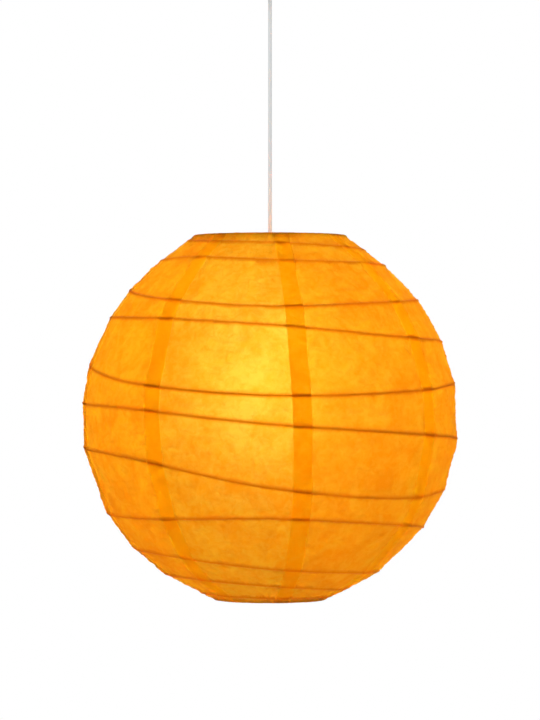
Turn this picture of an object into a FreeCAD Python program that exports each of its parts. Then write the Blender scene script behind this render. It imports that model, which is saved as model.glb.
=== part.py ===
"""Round accordion paper lantern on a hanging lampholder, one STEP file for each separate piece.

Millimetres, +Z up. The origin is on the ceiling, at the middle of the rose's bracket. The front is -Y.
"""
import FreeCAD, Part
import math
import os

V = FreeCAD.Vector
UP = V(0, 0, 1)
ALONG_Y = V(0, 1, 0)

# ---- Driving dimensions: the shade ----
DROP = 295.0                # ceiling to the top hoop
SHADE_RADIUS = 200.0        # outside of the paper at its widest
UPPER_HEIGHT = 194.0        # widest level to the top hoop
LOWER_HEIGHT = 188.0        # widest level to the bottom hoop
TOP_MOUTH_RADIUS = 79.0     # centre line of the top hoop
BOTTOM_MOUTH_RADIUS = 58.0  # centre line of the bottom hoop
UPPER_SHOULDER = (115.0, 24.0)  # radius, and distance below the top hoop, where the round part ends
LOWER_SHOULDER = (100.0, 18.0)  # the same at the bottom hoop
PAPER = 0.4                 # paper with its glue and laps
HOOP_WIRE = 1.5             # radius of both hoops' wire
RIB_WIRE = 0.75             # radius of the spiral rib
HEM_FIT = 0.1               # between a hoop and the paper folded over it
RIB_FIT = 0.2               # glue between the rib and the paper
GORES = 8
SEAM_TURN = 10.0            # degrees from the front to the first seam, towards the right

# The rib's height at each eighth of a turn, starting on the left side and running by the front, the right
# and the back, as a share of UPPER_HEIGHT above the widest level and of LOWER_HEIGHT below it.
RIB_COURSE = (
    0.982, 0.969, 0.957, 0.941, 0.928, 0.912, 0.897, 0.881,
    0.871, 0.881, 0.861, 0.851, 0.845, 0.825, 0.789, 0.747,
    0.717, 0.655, 0.610, 0.634, 0.657, 0.639, 0.608, 0.578,
    0.562, 0.551, 0.513, 0.454, 0.428, 0.397, 0.366, 0.340,
    0.312, 0.206, 0.146, 0.162, 0.206, 0.191, 0.154, 0.119,
    0.097, 0.072, -0.003, -0.059, -0.106, -0.128, -0.138, -0.138,
    -0.149, -0.199, -0.346, -0.415, -0.388, -0.410, -0.452, -0.494,
    -0.521, -0.529, -0.514, -0.558, -0.607, -0.633, -0.659, -0.686,
    -0.708, -0.742, -0.800, -0.835, -0.851, -0.856, -0.862, -0.862,
    -0.862, -0.872, -0.903, -0.934, -0.955, -0.962, -0.966, -0.967,
    -0.969, -0.973, -0.980, -0.987, -0.992,
)
RIB_START = 0.990           # height share an eighth of a turn before the first value

# ---- Driving dimensions: the spring frame that holds the shade open ----
FRAME_WIRE = 1.25           # radius
PIN_FIT = 0.1               # between a leg's pin and its eyelet
BODY_FIT = 0.3              # between pieces that move past each other
EYELET_DROP = 0.4           # how far an eyelet hangs below the arm that it is turned in
LEG_FIT = 1.25              # between a leg and the bottom hoop that slides up past it
FOOT_REACH = 5.0            # how far a foot runs out past the hoop's centre line

# ---- Driving dimensions: the lampholder and the lamp ----
HOLDER_DEPTH = 103.0        # top hoop to the lampholder's lower face
HOLDER_HEIGHT = 58.0
HOLDER_RADIUS = 19.5        # threaded skirt
HOLDER_WALL = 2.6
CAP_LIP = 3.5               # how far the lampholder's cap stands out past the skirt
CAP_WALL = 2.4
RING_WALL = 3.5             # shade ring's barrel, from the skirt out
RING_FLANGE = 7.5           # shade ring's flange, from the skirt out
RING_HEIGHT = 9.0
RING_LIFT = 12.0            # lower face of the lampholder to the shade ring
SHELL_FIT = 0.3             # between the lamp's thread and the screw shell
SHELL_WALL = 0.5
LAMP_RADIUS = 30.0
LAMP_LENGTH = 110.0
LAMP_CAP_RADIUS = 13.05     # outside of the lamp's thread
LAMP_CAP_HEIGHT = 25.0
GLASS = 0.8
NECK_CURVE = 45.0           # hollow curve between the neck and the globe
THREAD_PITCH = 3.6
THREAD_DEPTH = 0.55
LAMP_IN_HOLDER = 23.0       # the lamp's contact above the lampholder's lower face

# ---- Driving dimensions: the cord and the ceiling rose ----
CORD_RADIUS = 2.0
CORE_RADIUS = 0.8
ROSE_RADIUS = 45.0
ROSE_HEIGHT = 34.0
ROSE_WALL = 1.5
BUSH_RADIUS = 9.0
BUSH_FOOT = 4.0             # how far the bush shows below the rose
SWING_CONE = 6.0            # mouth radius of the bush, which leaves room for the cord to swing
PIVOT_LIFT = 7.0            # cord's swing centre above the bush's lower face
BRACKET_WIDTH = 18.0
BRACKET_THICK = 2.0
BRACKET_FIT = 1.5           # between the bracket's lugs and the inside of the rose
BRACKET_HOLES = 50.0        # between the two ceiling screws
BRACKET_HOLE_RADIUS = 2.25
SCREW_RADIUS = 1.6

# ---- How wires bend ----
ARC_SHARE = 0.45            # share of the shorter run beside a bend that its arc takes up
RIB_STEP = 22.5             # degrees between the rib's points

# ---- Sizes and levels that follow ----
CAP_RADIUS = HOLDER_RADIUS + CAP_LIP
SHELL_RADIUS = LAMP_CAP_RADIUS + SHELL_FIT
BRACKET_LENGTH = 2 * (ROSE_RADIUS - ROSE_WALL - BRACKET_FIT)
TOP_HOOP_Z = -DROP
WIDEST_Z = TOP_HOOP_Z - UPPER_HEIGHT
BOTTOM_HOOP_Z = WIDEST_Z - LOWER_HEIGHT
HEM = HOOP_WIRE + HEM_FIT + PAPER                       # outer radius of a hem round its hoop
HOLDER_FOOT = TOP_HOOP_Z - HOLDER_DEPTH
HOLDER_TOP = HOLDER_FOOT + HOLDER_HEIGHT
RING_FOOT = HOLDER_FOOT + RING_LIFT
EYE_Z = RING_FOOT + RING_HEIGHT + FRAME_WIRE + BODY_FIT
EYE_RADIUS = HOLDER_RADIUS + BODY_FIT + FRAME_WIRE
CAP_FOOT = EYE_Z + FRAME_WIRE + BODY_FIT
LAMP_TIP = HOLDER_FOOT + LAMP_IN_HOLDER
LAMP_CENTRE = LAMP_TIP - LAMP_LENGTH + LAMP_RADIUS
LEG_X = BOTTOM_MOUTH_RADIUS - HEM - LEG_FIT - FRAME_WIRE
EYELET_RADIUS = 2 * FRAME_WIRE + PIN_FIT
ARM_Z = TOP_HOOP_Z - HOOP_WIRE + 0.5
SADDLE_Z = TOP_HOOP_Z - HEM - FRAME_WIRE - HEM_FIT
PIN_Z = ARM_Z - EYELET_RADIUS - EYELET_DROP
FOOT_Z = BOTTOM_HOOP_Z + HEM + BODY_FIT + FRAME_WIRE
BUSH_FOOT_Z = -ROSE_HEIGHT - BUSH_FOOT
PIVOT_Z = BUSH_FOOT_Z + PIVOT_LIFT
BUSH_TOP_Z = -ROSE_HEIGHT + 14.0
CORD_FOOT = HOLDER_TOP - 6.0


# ---- Helpers ----
def at(radius, z, degrees=0.0):
    """Point at a radius, height and angle round the vertical axis."""
    turn = math.radians(degrees)
    return V(radius * math.cos(turn), radius * math.sin(turn), z)


def unit(vector):
    """The same direction, one long."""
    return vector / vector.Length


def outline(start, *steps):
    """Face in the XZ plane. A step is an end point, or a (through, end) pair for an arc."""
    edges = []
    here = at(*start)
    for step in steps + (start,):
        if isinstance(step[0], tuple):
            through, end = at(*step[0]), at(*step[1])
            edges.append(Part.Arc(here, through, end).toShape())
        else:
            end = at(*step)
            if (end - here).Length > 1e-6:
                edges.append(Part.LineSegment(here, end).toShape())
        here = end
    return Part.Face(Part.Wire(edges))


def spun(face, degrees=360.0, begin=0.0):
    """A face turned round the vertical axis, from the angle begin."""
    solid = face.revolve(V(), UP, degrees)
    return solid.rotate(V(), UP, begin) if begin else solid


def sleeve(inner, outer, low, high):
    """Tube with a vertical axis."""
    return spun(outline((inner, low), (outer, low), (outer, high), (inner, high)))


def disc(radius, low, high, x=0.0, y=0.0):
    """Solid round bar with a vertical axis."""
    return Part.makeCylinder(radius, high - low, V(x, y, low))


def block(size_x, size_y, size_z, middle):
    """Box about its middle."""
    corner = middle - V(size_x / 2, size_y / 2, size_z / 2)
    return Part.makeBox(size_x, size_y, size_z, corner)


def route(points, bend=None):
    """Wire of straight runs joined by tangent arcs, as large as the runs allow or of one radius."""
    edges = []
    here = points[0]
    for before, corner, after in zip(points, points[1:], points[2:]):
        run_in, run_out = corner - before, after - corner
        turn = run_in.getAngle(run_out)
        largest = ARC_SHARE * min(run_in.Length, run_out.Length) / math.tan(turn / 2)
        radius = largest if bend is None else min(bend, largest)
        cut = radius * math.tan(turn / 2)
        into, out = corner - unit(run_in) * cut, corner + unit(run_out) * cut
        inward = unit(unit(run_out) - unit(run_in))
        middle = corner + inward * (radius / math.cos(turn / 2) - radius)
        edges.append(Part.LineSegment(here, into).toShape())
        edges.append(Part.Arc(into, middle, out).toShape())
        here = out
    edges.append(Part.LineSegment(here, points[-1]).toShape())
    return Part.Wire(edges)


def wire_rod(points, radius, bend=None):
    """Round wire along a route, with square-cut ends."""
    path = route(points, bend)
    start = Part.Wire(Part.makeCircle(radius, points[0], points[1] - points[0]))
    return path.makePipeShell([start], True, False)


def joined(*solids):
    """One solid out of several that overlap."""
    return solids[0].multiFuse(list(solids[1:])).removeSplitter()


def mirrored(shape):
    """The same piece on the other side of the lantern."""
    return shape.mirror(V(), V(1, 0, 0))


def group(solids):
    """Separate solids kept in one node."""
    return Part.makeCompound(solids)


# ---- Shade ----
def tangent_angle(shoulder, mouth, height, upper):
    """Angle round a hoop where the flat paper from the shoulder meets the fold."""
    run, rise = shoulder - mouth, height
    reach = math.hypot(run, rise)
    slope = math.atan2(-rise if upper else rise, run)
    swing = math.acos(HEM / reach)
    return slope + swing if upper else slope - swing


TOP_FOLD = tangent_angle(UPPER_SHOULDER[0], TOP_MOUTH_RADIUS, UPPER_SHOULDER[1], True)
BOTTOM_FOLD = tangent_angle(LOWER_SHOULDER[0], BOTTOM_MOUTH_RADIUS, LOWER_SHOULDER[1], False)


def round_part(shoulder_radius, shoulder_height):
    """Centre radius and arc radius of the round part from the widest level to a shoulder."""
    step = SHADE_RADIUS - shoulder_radius
    arc = (step ** 2 + shoulder_height ** 2) / (2 * step)
    return SHADE_RADIUS - arc, arc


def half_profile(inset, upper):
    """Points of the paper's section from the widest level to a hoop, set in from its outside.

    Returns the widest point, a point on the arc, the shoulder and the fold, as (radius, height).
    """
    shoulder_radius, below = UPPER_SHOULDER if upper else LOWER_SHOULDER
    height, mouth = (UPPER_HEIGHT, TOP_MOUTH_RADIUS) if upper else (LOWER_HEIGHT, BOTTOM_MOUTH_RADIUS)
    sign = 1 if upper else -1
    centre, arc = round_part(shoulder_radius, height - below)
    last = math.acos((shoulder_radius - centre) / arc)
    fold = TOP_FOLD if upper else BOTTOM_FOLD

    def on_arc(share):
        angle = last * share
        return centre + (arc - inset) * math.cos(angle), WIDEST_Z + sign * (arc - inset) * math.sin(angle)

    hoop_z = WIDEST_Z + sign * height
    end = (mouth + (HEM - inset) * math.cos(fold), hoop_z + (HEM - inset) * math.sin(fold))
    return on_arc(0), on_arc(0.5), on_arc(1), end


def paper_section():
    """Section of the paper from one fold to the other."""
    out_wide, out_up, out_shoulder, out_top = half_profile(0, True)
    _, out_down, out_low_shoulder, out_bottom = half_profile(0, False)
    in_wide, in_up, in_shoulder, in_top = half_profile(PAPER, True)
    _, in_down, in_low_shoulder, in_bottom = half_profile(PAPER, False)
    return outline(
        out_top, out_shoulder, (out_up, out_wide), (out_down, out_low_shoulder), out_bottom,
        in_bottom, in_low_shoulder, (in_down, in_wide), (in_up, in_shoulder), in_top,
    )


def line_radius(height, inset):
    """Radius of the paper at a height from the widest level, set in from its outside."""
    upper = height >= 0
    wide, _, shoulder, end = half_profile(inset, upper)
    z = WIDEST_Z + height
    if abs(z - WIDEST_Z) <= abs(shoulder[1] - WIDEST_Z):
        shoulder_radius, below = UPPER_SHOULDER if upper else LOWER_SHOULDER
        full = UPPER_HEIGHT if upper else LOWER_HEIGHT
        centre, arc = round_part(shoulder_radius, full - below)
        return centre + math.sqrt((arc - inset) ** 2 - height ** 2)
    share = (z - shoulder[1]) / (end[1] - shoulder[1])
    return shoulder[0] + share * (end[0] - shoulder[0])


def hem(mouth, hoop_z, fold, upper):
    """Paper folded over a hoop, open towards the inside of the shade."""
    sign = 1 if upper else -1
    begin = fold + sign * (0 if upper else BODY_FIT / HEM)
    end = sign * math.radians(250.0)

    def on(radius, angle):
        return mouth + radius * math.cos(angle), hoop_z + radius * math.sin(angle)

    middle = (begin + end) / 2
    return spun(outline(
        on(HEM, begin), (on(HEM, middle), on(HEM, end)), on(HEM - PAPER, end),
        (on(HEM - PAPER, middle), on(HEM - PAPER, begin)),
    ))


def rib_heights():
    """Rib heights from the widest level at each sixteenth of a turn, from an eighth before the left."""
    shares = (RIB_START,) + RIB_COURSE
    heights = [s * (UPPER_HEIGHT if s > 0 else LOWER_HEIGHT) for s in shares]
    ends = [2 * heights[0] - heights[1]] + heights + [2 * heights[-1] - heights[-2]]
    fine = []
    for a, b, c, d in zip(ends, ends[1:], ends[2:], ends[3:]):
        fine += [b, (9 * (b + c) - a - d) / 16]
    return fine + [heights[-1]]


def rib():
    """Spiral wire glued inside the paper, from the top hoop to the bottom hoop in one length.

    Each inner point stands out by as much as its arc passes inside it.
    """
    inset = PAPER + RIB_FIT + RIB_WIRE
    places = []
    for i, height in enumerate(rib_heights()):
        places.append(at(line_radius(height, inset), WIDEST_Z + height, 180.0 - 45.0 + i * RIB_STEP))
    points = places[:1]
    for before, place, after in zip(places, places[1:], places[2:]):
        run_in, run_out = place - before, after - place
        turn = run_in.getAngle(run_out)
        cut = ARC_SHARE * min(run_in.Length, run_out.Length) * math.tan(turn / 4)
        points.append(place - unit(unit(run_out) - unit(run_in)) * cut)
    points.append(places[-1])
    return wire_rod(points, RIB_WIRE)


def hoop(mouth, z):
    """Steel ring that keeps a mouth of the shade round."""
    return Part.makeTorus(mouth, HOOP_WIRE, V(0, 0, z))


def shade_pieces():
    """Paper gores, hems, hoops and rib."""
    section = paper_section()
    width = 360.0 / GORES
    pieces = {}
    for i in range(GORES):
        pieces[f"paper_panel_{i + 1}"] = spun(section.copy(), width, -90.0 + SEAM_TURN + i * width)
    pieces["rib_wire"] = rib()
    pieces["top_hoop"] = hoop(TOP_MOUTH_RADIUS, TOP_HOOP_Z)
    pieces["bottom_hoop"] = hoop(BOTTOM_MOUTH_RADIUS, BOTTOM_HOOP_Z)
    pieces["top_hem"] = hem(TOP_MOUTH_RADIUS, TOP_HOOP_Z, TOP_FOLD, True)
    pieces["bottom_hem"] = hem(BOTTOM_MOUTH_RADIUS, BOTTOM_HOOP_Z, BOTTOM_FOLD, False)
    return pieces


# ---- Spring frame ----
def hanger():
    """Cross wire: an eye on the lampholder, two arms with eyelets, and saddles under the top hoop."""
    eye = Part.makeTorus(EYE_RADIUS, FRAME_WIRE, V(0, 0, EYE_Z))
    rise = ARM_Z - EYE_Z
    saddle_start = TOP_MOUTH_RADIUS - HEM - 4 * FRAME_WIRE
    arm = wire_rod(
        [
            V(EYE_RADIUS, 0, EYE_Z),
            V(CAP_RADIUS + 7, 0, EYE_Z),
            V(LEG_X - 14, 0, ARM_Z - 0.4 * rise),
            V(LEG_X - 10, 0, ARM_Z),
            V(saddle_start, 0, ARM_Z),
            V(saddle_start + 3 * FRAME_WIRE, 0, SADDLE_Z),
            V(TOP_MOUTH_RADIUS + 2 * FRAME_WIRE, 0, SADDLE_Z),
        ],
        FRAME_WIRE,
        6.0,
    )
    eyelet = Part.makeTorus(EYELET_RADIUS, FRAME_WIRE, V(LEG_X, 0, PIN_Z), ALONG_Y)
    tip = Part.makeSphere(FRAME_WIRE, V(TOP_MOUTH_RADIUS + 2 * FRAME_WIRE, 0, SADDLE_Z))
    side = joined(arm, eyelet, tip)
    return joined(eye, side, mirrored(side))


def leg():
    """Right leg: a pin through the eyelet, a long straight run, and a foot that holds the hoop down."""
    pin_reach = 2 * EYELET_RADIUS
    side_step = FRAME_WIRE * 2 + 2 * BODY_FIT
    length = PIN_Z - FOOT_Z
    rod = wire_rod(
        [
            V(LEG_X, -pin_reach, PIN_Z),
            V(LEG_X, side_step, PIN_Z),
            V(LEG_X, side_step, PIN_Z - 0.03 * length),
            V(LEG_X, 0, PIN_Z - 0.09 * length),
            V(LEG_X, 0, FOOT_Z),
            V(BOTTOM_MOUTH_RADIUS + FOOT_REACH, 0, FOOT_Z),
            V(BOTTOM_MOUTH_RADIUS + FOOT_REACH + 1.5, 0, FOOT_Z + 5),
        ],
        FRAME_WIRE,
        2.4,
    )
    head = Part.makeCylinder(1.6 * FRAME_WIRE, FRAME_WIRE, V(LEG_X, -pin_reach, PIN_Z), -ALONG_Y)
    tip = Part.makeSphere(FRAME_WIRE, V(BOTTOM_MOUTH_RADIUS + FOOT_REACH + 1.5, 0, FOOT_Z + 5))
    return joined(rod, head, tip)


def frame_pieces():
    """Hanger and its two legs."""
    right = leg()
    return {"hanger_wire": hanger(), "leg_right": right, "leg_left": mirrored(right)}


# ---- Lampholder ----
def holder_cap():
    """Domed upper shell of the lampholder."""
    low, high = CAP_FOOT, HOLDER_TOP
    hole = CORD_RADIUS + 2.5
    shoulder = high - 9.0
    return spun(outline(
        (CAP_RADIUS - CAP_WALL, low), (CAP_RADIUS, low), (CAP_RADIUS, shoulder - 4),
        ((CAP_RADIUS - 4.4, shoulder + 3.4), (CAP_RADIUS - 12, high)), (hole, high), (hole, high - CAP_WALL),
        (CAP_RADIUS - 12, high - CAP_WALL),
        ((CAP_RADIUS - 6.2, shoulder + 1.6), (CAP_RADIUS - CAP_WALL, shoulder - 5)),
    ))


def thread(radius, depth, low, turns, core):
    """Thread ridges on a tube, as rings one pitch apart, down to the bore core."""
    points = [(core, low), (radius - depth, low)]
    for i in range(turns):
        start = low + i * THREAD_PITCH
        points += [
            (radius - depth, start + 0.1 * THREAD_PITCH),
            (radius, start + 0.4 * THREAD_PITCH),
            (radius, start + 0.6 * THREAD_PITCH),
            (radius - depth, start + 0.9 * THREAD_PITCH),
        ]
    top = low + turns * THREAD_PITCH
    points += [(radius - depth, top), (core, top)]
    return spun(outline(*points))


def holder_pieces():
    """Lampholder from its cord grip down to its shade ring."""
    skirt_bore = HOLDER_RADIUS - HOLDER_WALL
    body_top = CAP_FOOT + 8.0
    inner_top = body_top - 0.2
    shell_out = SHELL_RADIUS + SHELL_WALL
    shell_top = LAMP_TIP + 5.0
    insert_disc = shell_top + 0.2
    grip_hole = CORD_RADIUS + 0.05
    pieces = {}
    pieces["holder_cap"] = holder_cap()
    pieces["holder_cord_grip"] = spun(outline(
        (grip_hole, HOLDER_TOP - 5), (CORD_RADIUS + 4.4, HOLDER_TOP - 5),
        (CORD_RADIUS + 4.4, HOLDER_TOP - 2.5), (CORD_RADIUS + 2.4, HOLDER_TOP - 2.5),
        (CORD_RADIUS + 2.4, HOLDER_TOP + 2),
        (CORD_RADIUS + 1.0, HOLDER_TOP + 5), (grip_hole, HOLDER_TOP + 5),
    ))
    pieces["holder_skirt"] = spun(outline(
        (skirt_bore, HOLDER_FOOT), (HOLDER_RADIUS - 0.6, HOLDER_FOOT), (HOLDER_RADIUS, HOLDER_FOOT + 0.6),
        (HOLDER_RADIUS, body_top), (skirt_bore, body_top),
    ))
    pieces["holder_insulator"] = spun(outline(
        (2.6, insert_disc), (shell_out + 0.1, insert_disc), (shell_out + 0.1, HOLDER_FOOT + 3),
        (skirt_bore - 0.1, HOLDER_FOOT + 3), (skirt_bore - 0.1, inner_top + 2), (2.6, inner_top + 2),
    ))
    pieces["screw_shell"] = sleeve(SHELL_RADIUS, shell_out, HOLDER_FOOT + 4, shell_top)
    pieces["centre_contact"] = joined(
        disc(2.5, LAMP_TIP + 0.9, inner_top + 3.5),
        block(14.0, 5.0, 0.6, V(3.5, 0, LAMP_TIP + 0.6)),
        block(0.6, 5.0, 3.6, V(10.2, 0, LAMP_TIP + 2.1)),
    )
    screws = []
    for x in (-9.5, 9.5):
        head = disc(2.6, inner_top + 2, inner_top + 4.2, x)
        slot = block(0.7, 6.0, 1.2, V(x, 0, inner_top + 4.2))
        screws.append(head.cut(slot))
    pieces["holder_terminal_screws"] = group(screws)
    pieces["shade_ring"] = shade_ring()
    return pieces


def shade_ring():
    """Ring nut with a flange and grip notches that clamps the hanger's eye on the lampholder."""
    top = RING_FOOT + RING_HEIGHT
    bore, barrel, flange = HOLDER_RADIUS + 0.1, HOLDER_RADIUS + RING_WALL, HOLDER_RADIUS + RING_FLANGE
    ring = spun(outline(
        (bore, RING_FOOT), (barrel - 0.5, RING_FOOT), (barrel, RING_FOOT + 0.5), (barrel, top - 3),
        (flange, top - 3), (flange, top - 0.5), (flange - 0.5, top), (bore, top),
    ))
    notches = []
    count = 24
    for i in range(count):
        middle = at(flange + 0.5, 0, i * 360.0 / count)
        notches.append(disc(1.3, top - 3.1, top + 0.1, middle.x, middle.y))
    return ring.cut(Part.makeCompound(notches))


# ---- Lamp ----
def lamp_glass():
    """Blown envelope, open at the neck."""
    neck = LAMP_CAP_RADIUS - 1.2
    neck_top = LAMP_TIP - LAMP_CAP_HEIGHT + 3.0
    side = neck + NECK_CURVE
    drop = math.sqrt((LAMP_RADIUS + NECK_CURVE) ** 2 - side ** 2)
    curve_z = LAMP_CENTRE + drop
    lean = math.atan2(drop, side)

    def on_neck(radius, angle):
        return side - radius * math.cos(angle), curve_z - radius * math.sin(angle)

    def on_globe(radius, angle):
        return radius * math.cos(angle), LAMP_CENTRE + radius * math.sin(angle)

    inner_globe, inner_curve = LAMP_RADIUS - GLASS, NECK_CURVE + GLASS
    return spun(outline(
        (neck, neck_top), (neck, curve_z),
        (on_neck(NECK_CURVE, lean / 2), on_neck(NECK_CURVE, lean)),
        (on_globe(LAMP_RADIUS, (lean - math.pi / 2) / 2), (0, LAMP_CENTRE - LAMP_RADIUS)),
        (0, LAMP_CENTRE - inner_globe),
        (on_globe(inner_globe, (lean - math.pi / 2) / 2), on_neck(inner_curve, lean)),
        (on_neck(inner_curve, lean / 2), (neck - GLASS, curve_z)), (neck - GLASS, neck_top),
    ))


def lamp_pieces():
    """Screw lamp: cap, insulator, contact, glass, stem, leads and filament."""
    cap_low = LAMP_TIP - LAMP_CAP_HEIGHT
    turns = 5
    cap_bore = LAMP_CAP_RADIUS - THREAD_DEPTH - 0.4
    thread_top = cap_low + 3.0 + turns * THREAD_PITCH
    lead_z = LAMP_CENTRE + 4.0
    spread = 9.0
    pieces = {}
    pieces["lamp_cap"] = joined(
        sleeve(LAMP_CAP_RADIUS - 0.4, LAMP_CAP_RADIUS, cap_low, cap_low + 3.0),
        sleeve(cap_bore, LAMP_CAP_RADIUS, cap_low + 2.6, cap_low + 3.2),
        thread(LAMP_CAP_RADIUS, THREAD_DEPTH, cap_low + 3.0, turns, cap_bore),
    )
    pieces["lamp_insulator"] = spun(outline(
        (0, thread_top), (LAMP_CAP_RADIUS - THREAD_DEPTH, thread_top),
        (LAMP_CAP_RADIUS - 3.6, thread_top + 2.2), (5.0, LAMP_TIP - 1.0), (0, LAMP_TIP - 1.0),
    ))
    pieces["lamp_contact"] = disc(4.6, LAMP_TIP - 1.0, LAMP_TIP)
    pieces["lamp_glass"] = lamp_glass()
    stem_top = cap_low + 3.0
    pieces["lamp_stem"] = spun(outline(
        (0, lead_z + 12), (2.0, lead_z + 12), (2.6, lead_z + 20), (2.6, cap_low - 5), (7.0, stem_top),
        (0, stem_top),
    ))
    leads = []
    for sign in (-1, 1):
        leads.append(wire_rod(
            [
                V(sign * 1.0, 0, lead_z + 12),
                V(sign * 1.0, 0, lead_z + 8),
                V(sign * spread, 0, lead_z + 3),
                V(sign * spread, 0, lead_z),
            ],
            0.35,
            3.0,
        ))
    pieces["lamp_leads"] = group(leads)
    pieces["lamp_filament"] = wire_rod(
        [
            V(-spread, 0, lead_z - 0.4),
            V(-spread / 2, -4, lead_z - 0.4),
            V(0, -5.5, lead_z - 0.8),
            V(spread / 2, -4, lead_z - 0.4),
            V(spread, 0, lead_z - 0.4),
        ],
        0.4,
    )
    return pieces


# ---- Cord and ceiling rose ----
def cord_pieces():
    """The cord up to its round end in the bush, where it swings, and its two cores inside the lampholder."""
    cord = joined(disc(CORD_RADIUS, CORD_FOOT, PIVOT_Z), Part.makeSphere(CORD_RADIUS, V(0, 0, PIVOT_Z)))
    section = math.pi * CORD_RADIUS ** 2
    full = section * (PIVOT_Z - CORD_FOOT + 2 / 3 * CORD_RADIUS)
    print(f"cord: volume {cord.Volume:.1f}, section times length {full:.1f} mm3")
    terminal = CAP_FOOT + 8.0 - 0.2 + 4.2
    cores = []
    for sign in (-1, 1):
        cores.append(wire_rod(
            [
                V(sign * 0.95, 0, CORD_FOOT),
                V(sign * 0.95, 0, CORD_FOOT - 3),
                V(sign * 9.5, 0, terminal + 5),
                V(sign * 9.5, 0, terminal + 0.1),
            ],
            CORE_RADIUS,
            4.0,
        ))
    return {"cord": cord, "holder_cores": group(cores)}


def rose_cup():
    """Turned cover with a rolled lower edge and a hole for the bush."""
    r, w, low = ROSE_RADIUS, ROSE_WALL, -ROSE_HEIGHT
    edge = 9.0
    in_45 = 1 - math.sqrt(0.5)
    cup = spun(outline(
        (r - w, 0), (r, 0), (r, low + edge), ((r - edge * in_45, low + edge * in_45), (r - edge, low)),
        (BUSH_RADIUS - 3.8, low), (BUSH_RADIUS - 3.8, low + w), (r - edge, low + w),
        ((r - w - (edge - w) * in_45, low + w + (edge - w) * in_45), (r - w, low + edge)),
    ))
    for sign in (-1, 1):
        drill = Part.makeCylinder(SCREW_RADIUS + 0.15, 10, V(sign * (r - 6), 0, -12), V(sign, 0, 0))
        cup = cup.cut(drill)
    return cup


def bracket():
    """Steel strip screwed to the ceiling, with a lug turned down at each end for the cover's screws."""
    length, width, thick = BRACKET_LENGTH, BRACKET_WIDTH, BRACKET_THICK
    strip = block(length, width, thick, V(0, 0, -thick / 2))
    for sign in (-1, 1):
        strip = strip.fuse(block(thick, width, 20, V(sign * (length - thick) / 2, 0, -10)))
    for sign in (-1, 1):
        strip = strip.cut(disc(BRACKET_HOLE_RADIUS, -thick - 1, 1, sign * BRACKET_HOLES / 2))
        tapped = Part.makeCylinder(SCREW_RADIUS + 0.05, 8, V(sign * (length / 2 - 5), 0, -12), V(sign, 0, 0))
        strip = strip.cut(tapped)
    return strip.removeSplitter()


def rose_pieces():
    """Ceiling rose: bracket, cover, screws, bush, terminal block and the cord's end."""
    length, thick = BRACKET_LENGTH, BRACKET_THICK
    pieces = {"mounting_bracket": bracket(), "rose_cup": rose_cup()}
    screws = []
    for sign in (-1, 1):
        side = V(sign, 0, 0)
        shank = Part.makeCylinder(SCREW_RADIUS, ROSE_RADIUS + 0.1 - length / 2 + thick,
                                  V(sign * (length / 2 - thick), 0, -12), side)
        head = Part.makeCylinder(3.0, 1.8, V(sign * (ROSE_RADIUS + 0.05), 0, -12), side)
        slot = block(1.4, 7.0, 0.8, V(sign * (ROSE_RADIUS + 1.85), 0, -12))
        screws.append(shank.fuse(head).cut(slot).removeSplitter())
    pieces["cover_screws"] = group(screws)
    neck = BUSH_RADIUS - 4.0
    core = CORD_RADIUS + 0.35
    pieces["cord_bush"] = spun(outline(
        (SWING_CONE, BUSH_FOOT_Z), (BUSH_RADIUS - 1.0, BUSH_FOOT_Z), (BUSH_RADIUS, BUSH_FOOT_Z + 1.0),
        (BUSH_RADIUS, -ROSE_HEIGHT - 0.05), (neck, -ROSE_HEIGHT - 0.05), (neck, BUSH_TOP_Z),
        (core, BUSH_TOP_Z), (core, PIVOT_Z),
    ))
    nut_low = -ROSE_HEIGHT + ROSE_WALL + 0.05
    hexagon = [at(BUSH_RADIUS, nut_low, 60.0 * i) for i in range(6)]
    nut = Part.Face(Part.makePolygon(hexagon + hexagon[:1])).extrude(V(0, 0, 4.0))
    pieces["bush_nut"] = nut.cut(disc(neck + 0.05, nut_low - 1, nut_low + 5))
    tail_top = BUSH_TOP_Z + 1.5
    pieces["cord_tail"] = disc(CORD_RADIUS, PIVOT_Z + CORD_RADIUS + BODY_FIT, tail_top)
    carrier = V(0, 15.0, -9.0)
    terminals = block(24.0, 12.0, 11.0, carrier)
    openings, clamps = [], []
    for x in (-6.0, 6.0):
        across = Part.makeCylinder(1.9, 14, V(x, carrier.y - 7, carrier.z - 1.5), ALONG_Y)
        well = disc(2.1, carrier.z - 7, carrier.z - 0.5, x, carrier.y)
        openings += [across, well]
        clamp = disc(1.9, carrier.z - 5.2, carrier.z - 3.6, x, carrier.y)
        clamps.append(clamp.cut(block(4.5, 0.6, 0.8, V(x, carrier.y, carrier.z - 5.2))))
    pieces["terminal_block"] = terminals.cut(Part.makeCompound(openings))
    pieces["terminal_screws"] = group(clamps)
    ends = []
    for sign in (-1, 1):
        ends.append(wire_rod(
            [
                V(sign * 0.95, 0, tail_top),
                V(sign * 0.95, 0, tail_top + 3),
                V(sign * 6.0, 4.5, carrier.z - 1.5),
                V(sign * 6.0, carrier.y - 2.0, carrier.z - 1.5),
            ],
            CORE_RADIUS,
            3.0,
        ))
    pieces["rose_cores"] = group(ends)
    return pieces


def main():
    """Write every piece to its own file."""
    os.makedirs("parts", exist_ok=True)
    pieces = {}
    for family in (shade_pieces, frame_pieces, holder_pieces, lamp_pieces, cord_pieces, rose_pieces):
        pieces.update(family())
    for name, shape in pieces.items():
        sound = shape.isValid() and all(s.Volume > 0 for s in shape.Solids)
        shape.exportStep(f"parts/{name}.step")
        print(f"{name}: {len(shape.Solids)} solid(s), {shape.Volume:.1f} mm3{'' if sound else ', NOT SOUND'}")
    print(f"{len(pieces)} nodes")


main()
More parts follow.
